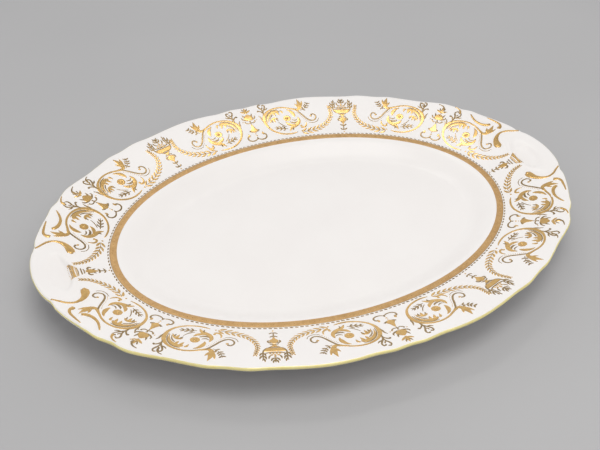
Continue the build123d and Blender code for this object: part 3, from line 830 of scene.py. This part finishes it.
def ramp(add, stops):
    """A colour ramp with the given (position, colour) stops."""
    node = add("ShaderNodeValToRGB")
    for element, (position, colour) in zip(node.color_ramp.elements, stops):
        element.position = position
        element.color = (*colour, 1)
    return node


def glazed_china():
    """White bone china under a clear glaze: faint clouding, soft orange peel, a dry foot ring."""
    material, shader, add, link = node_material("glazed china")
    where = add("ShaderNodeNewGeometry")
    cloud = add("ShaderNodeTexNoise", in_Scale=26.0, in_Detail=3.0)
    link(where, "Position", cloud, "Vector")
    tint = ramp(add, ((0.35, (0.880, 0.848, 0.828)), (0.65, (0.895, 0.865, 0.845))))
    link(cloud, "Fac", tint, "Fac")
    split = add("ShaderNodeSeparateXYZ")
    link(where, "Position", split, "Vector")
    glazed = add("ShaderNodeMapRange", in_From_Min=0.0002, in_From_Max=0.0007)  # metres over the table
    link(split, "Z", glazed, "Value")
    bisque = add("ShaderNodeMix", data_type="RGBA")
    bisque.inputs["A"].default_value = (0.78, 0.74, 0.68, 1)
    link(glazed, "Result", bisque, "Factor")
    link(tint, "Color", bisque, "B")
    link(bisque, "Result", shader, "Base Color")
    rough = add("ShaderNodeMapRange", in_To_Min=0.75, in_To_Max=0.32)
    link(glazed, "Result", rough, "Value")
    link(rough, "Result", shader, "Roughness")
    peel = add("ShaderNodeTexNoise", in_Scale=210.0, in_Detail=2.0)
    link(where, "Position", peel, "Vector")
    bump = add("ShaderNodeBump", in_Strength=0.05, in_Distance=0.0004)
    link(peel, "Fac", bump, "Height")
    link(bump, "Normal", shader, "Normal")
    shader.inputs["IOR"].default_value = 1.46
    return material


def fired_gold(name, colour, dark, roughness, grain, metallic):
    """Burnished gold fired on the glaze, slightly uneven in tone, with fine brush grain."""
    material, shader, add, link = node_material(name)
    where = add("ShaderNodeNewGeometry")
    patch = add("ShaderNodeTexNoise", in_Scale=320.0, in_Detail=4.0, in_Roughness=0.6)
    link(where, "Position", patch, "Vector")
    tone = ramp(add, ((0.32, dark), (0.62, colour)))
    link(patch, "Fac", tone, "Fac")
    link(tone, "Color", shader, "Base Color")
    rough = add("ShaderNodeMapRange", in_To_Min=roughness + 0.1, in_To_Max=roughness - 0.03)
    link(patch, "Fac", rough, "Value")
    link(rough, "Result", shader, "Roughness")
    fine = add("ShaderNodeTexNoise", in_Scale=1500.0, in_Detail=2.0)
    link(where, "Position", fine, "Vector")
    bump = add("ShaderNodeBump", in_Strength=grain, in_Distance=0.0001)
    link(fine, "Fac", bump, "Height")
    link(bump, "Normal", shader, "Normal")
    shader.inputs["Metallic"].default_value = metallic
    return material


def studio_grey():
    """Pale grey studio paper with a very faint mottle."""
    material, shader, add, link = node_material("studio paper")
    where = add("ShaderNodeNewGeometry")
    mottle = add("ShaderNodeTexNoise", in_Scale=3.0, in_Detail=2.0)
    link(where, "Position", mottle, "Vector")
    tint = ramp(add, ((0.3, (0.465, 0.462, 0.468)), (0.7, (0.49, 0.487, 0.492))))
    link(mottle, "Fac", tint, "Fac")
    link(tint, "Color", shader, "Base Color")
    shader.inputs["Roughness"].default_value = 0.9
    shader.inputs["Specular IOR Level"].default_value = 0.1
    return material


# ---- Build the platter ----
def make_edge():
    """The gold line on the lip's outer face, with a hand-painted upper margin, thinner round the lugs."""
    shelf, middle, half = lip_section()
    on_lug = smooth_step((np.abs(oval_row(shelf)[0]) - lug_start) / lug_blend)
    waver = sum(size * np.sin(column_angles * waves + phase) for size, waves, phase in edge_wavers)
    upper = edge_upper + (edge_upper_on_lug - edge_upper) * on_lug + waver
    lower = edge_lower + (edge_lower_on_lug - edge_lower) * on_lug
    rows = []
    for share, height in edge_section:
        turn = upper + (lower - upper) * share
        x, y = oval_row(shelf + (lip_radius + height) * np.cos(turn))
        rows.append(np.column_stack([x, y, middle + (half + height) * np.sin(turn)]))
    faces = tube_faces(len(rows), COLUMNS)
    # The lip's gold line takes the edge gold, whose pale, half-diffuse colour is a painted highlight.
    new_piece("gilt_edge_gilding", np.vstack(rows), faces, "edge_gilding", [edge_gold_painted_highlight])


def make_band():
    """The well band: a matt ground, two border lines, and a chain of rings and beads."""
    band = Gilding()
    band.ribbon(painted_inner, painted_outer, ground_section, material=MATT)
    band.ribbon(painted_inner, painted_inner + border, border_section, material=MATT)
    band.ribbon(painted_outer - border, painted_outer, border_section, material=LINE)
    for number in range(band_units):
        x, y = shoulder_point(shoulder_angle(2 * pi * number / band_units), ring_middle)
        turns = np.arange(ring_corners + 1) * 2 * pi / ring_corners
        ring = [(x + ring_radius * cos(turn), y + ring_radius * sin(turn), ring_half) for turn in turns]
        band.stroke(ring, closed=True, step=1.0, lift=ring_lift, material=MATT)
        band.dot(x, y, ring_bead, corners=8)
    band.finish("well_band", [burnished, line_gold, matt_gold])


def make_rope():
    """The fine dashed line outside the band: slanting strands of a rope."""
    rope = Gilding()
    for number in range(band_units):
        start = 2 * pi * number / band_units
        end = start + 2 * pi / band_units * rope_share
        dash = (
            (*shoulder_point(shoulder_angle(start), rope_outside - rope_slant), rope_end_half),
            (*shoulder_point(shoulder_angle((start + end) / 2), rope_outside), rope_half),
            (*shoulder_point(shoulder_angle(end), rope_outside + rope_slant), rope_end_half),
        )
        rope.stroke(dash)
    rope.finish("dashed_line", golds)


def make_medallion(which, quarter, along, over):
    """A medallion of one quarter, a little off its place if it was laid so."""
    pen = Quarter(along, over)
    (x, y), heading, hand = medallion_places[which]
    off_x, off_y = laid_off.get((which, quarter), (0, 0))
    draw_medallion(pen, ((x + off_x, y + off_y), heading, hand), which in sprigs_on)
    pen.gold.finish(f"medallion_{which}_{quarter}", golds)


def make_garland(which, quarter, along, over):
    """The half garland that ends at a medallion's dot."""
    pen = Quarter(along, over)
    draw_garland(pen, garland_vines[which])
    pen.gold.finish(f"garland_{which}_{quarter}", golds)


def make_lug_gilding(quarter, along, over):
    """The scroll where the rim curls into the lug, and the strokes on the cast relief beside it."""
    pen = Quarter(along, over)
    pen.stroke(lug_scroll, lift=ridge_lift)
    pen.dot(*lug_scroll[0], crown=0.25)
    pen.gold.finish(f"lug_scroll_{quarter}", golds)
    pen = Quarter(along, over)
    for points in relief_strokes.values():
        pen.stroke(points, lift=ridge_lift)
    pen.gold.finish(f"relief_strokes_{quarter}", golds)


def make_urn(quarter, along, over):
    """An urn with its fruit and the dot under its foot."""
    pen = Quarter(along, over)
    where = (shoulder_point(urn_angle, 0), urn_heading - 90, 1)
    draw_axis_motif(pen, urn_half, urn_axis, (), where)
    draw_fruit(pen, where)
    pen.dot(*shoulder_point(urn_angle, urn_dot), foot_dot_radius)
    pen.gold.finish(f"urn_{quarter}", golds)


def make_candelabra(name, origin, heading, along, over):
    """A candelabra whose axis has the given heading, in degrees."""
    pen = Quarter(along, over)
    where = (origin, heading - 90, 1)
    draw_axis_motif(pen, candelabra_half, candelabra_axis, candelabra_dots, where)
    pen.gold.finish(f"candelabra_{name}", golds)


def make_palmette(name, along):
    """The fluted basket beside a lug, and the dot under its foot."""
    pen = Quarter(along)
    where = ((shoulder_length, 0), -90, 1)
    draw_axis_motif(pen, palmette_half, palmette_axis, (), where)
    draw_basket(pen, where)
    pen.dot(shoulder_length + palmette_dot, 0, foot_dot_radius)
    pen.gold.finish(f"palmette_{name}", golds)


burnished = fired_gold(
    "burnished gold", colour=(0.76, 0.49, 0.185), dark=(0.62, 0.385, 0.145),
    roughness=0.16, grain=0.1, metallic=0.93,
)
line_gold = fired_gold(
    "fine-line gold", colour=(0.42, 0.29, 0.14), dark=(0.31, 0.21, 0.10),
    roughness=0.18, grain=0.1, metallic=0.93,
)
matt_gold = fired_gold(
    "matt gold ground", colour=(0.65, 0.41, 0.185), dark=(0.54, 0.325, 0.135),
    roughness=0.42, grain=0.4, metallic=0.8,
)
# The edge gold is paler and far less metallic than the other golds, so its own colour shows bright yellow: a
# painted highlight for the glint on the lip's gold line.
edge_gold_painted_highlight = fired_gold(
    "edge gold with painted highlight", colour=(1.0, 0.90, 0.42), dark=(0.96, 0.82, 0.34),
    roughness=0.2, grain=0.12, metallic=0.35,
)
golds = [burnished, line_gold]  # in the order of SOLID and LINE

make_china(glazed_china())
make_edge()
make_band()
make_rope()
for quarter, along, over in quarters:
    for which in medallion_places:
        make_medallion(which, quarter, along, over)
        make_garland(which, quarter, along, over)
    make_lug_gilding(quarter, along, over)
    make_urn(quarter, along, over)
    diagonal_foot = shoulder_point(diagonal_angle, 0)
    make_candelabra(f"diagonal_{quarter}", diagonal_foot, diagonal_heading, along, over)
for name, over in (("back", 1), ("front", -1)):
    make_candelabra(name, (0, shoulder_width), 90, 1, over)
for name, along in (("right", 1), ("left", -1)):
    make_palmette(name, along)

# ---- Studio: floor, lights, camera, in metres ----
def make_floor():
    """A plain pale floor at the height of the foot ring."""
    reach, low = 6.0, cad_box[0].z
    mesh = bpy.data.meshes.new("studio_floor")
    corners = [(x * reach, y * reach, low) for x, y in ((-1, -1), (1, -1), (1, 1), (-1, 1))]
    mesh.from_pydata(corners, [], [(0, 1, 2, 3)])
    mesh.materials.append(studio_grey())
    floor = bpy.data.objects.new("studio_floor", mesh)
    bpy.context.collection.objects.link(floor)


def make_softbox(name, azimuth, elevation, distance, width, height, radiance, colour):
    """A rectangular softbox that faces the platter. Azimuth 0 is the far side, 90 the right."""
    light = bpy.data.lights.new(name, "AREA")
    light.shape = "RECTANGLE"
    light.size = width
    light.size_y = height
    light.energy = radiance * pi * width * height
    light.color = colour
    lamp = bpy.data.objects.new(name, light)
    bpy.context.collection.objects.link(lamp)
    around, up = radians(azimuth), radians(elevation)
    away = Vector((sin(around) * cos(up), cos(around) * cos(up), sin(up)))
    lamp.location = away * distance
    lamp.rotation_euler = away.to_track_quat("Z", "Y").to_euler()


def make_world():
    """Studio fill: bright walls low down all round, and a dimmer ceiling."""
    world = bpy.data.worlds.new("studio")
    bpy.context.scene.world = world
    world.use_nodes = True
    tree = world.node_tree
    background = tree.nodes["Background"]
    direction = tree.nodes.new("ShaderNodeTexCoord")
    towards = tree.nodes.new("ShaderNodeVectorMath")
    towards.operation = "DOT_PRODUCT"
    towards.inputs[1].default_value = (0.0, -0.2, 0.95)
    level = tree.nodes.new("ShaderNodeMapRange")
    level.inputs["From Min"].default_value = -0.05
    level.inputs["From Max"].default_value = 0.85
    level.inputs["To Min"].default_value = 1.0
    level.inputs["To Max"].default_value = 0.40
    background.inputs["Color"].default_value = (0.985, 0.99, 1.0, 1)
    tree.links.new(direction.outputs["Generated"], towards.inputs[0])
    tree.links.new(towards.outputs["Value"], level.inputs["Value"])
    tree.links.new(level.outputs["Result"], background.inputs["Strength"])


def make_camera():
    """The photographed view: from the front, left of the middle, looking down about 39 degrees."""
    elevation, yaw = radians(38.96), radians(-24.19)
    roll = 0.02144  # radians
    distance = 0.6172
    aim = Vector((-0.0120, -0.00417, 0.0176))
    back = Vector((sin(yaw) * cos(elevation), -cos(yaw) * cos(elevation), sin(elevation)))
    right = Vector((cos(yaw), sin(yaw), 0))
    up = back.cross(right)
    tilted_right = cos(roll) * right + sin(roll) * up
    tilted_up = cos(roll) * up - sin(roll) * right
    camera_data = bpy.data.cameras.new("camera")
    camera_data.lens = 53.9
    camera_data.clip_start = 0.01
    camera = bpy.data.objects.new("camera", camera_data)
    bpy.context.collection.objects.link(camera)
    matrix = Matrix((tilted_right, tilted_up, back)).transposed().to_4x4()
    matrix.translation = aim + back * distance
    camera.matrix_world = matrix
    bpy.context.scene.camera = camera


make_floor()
make_world()
make_softbox(
    "key_strip", azimuth=5, elevation=61, distance=1.5, width=0.8, height=0.15,
    radiance=5.0, colour=(1.0, 0.985, 0.95),
)
make_softbox(
    "overhead", azimuth=175, elevation=78, distance=1.4, width=0.9, height=0.7,
    radiance=3.45, colour=(1.0, 0.99, 0.97),
)
make_softbox(
    "front", azimuth=172, elevation=52, distance=1.6, width=1.3, height=0.5,
    radiance=1.5, colour=(1.0, 0.985, 0.96),
)
make_camera()
bpy.context.scene.view_settings.view_transform = "Standard"
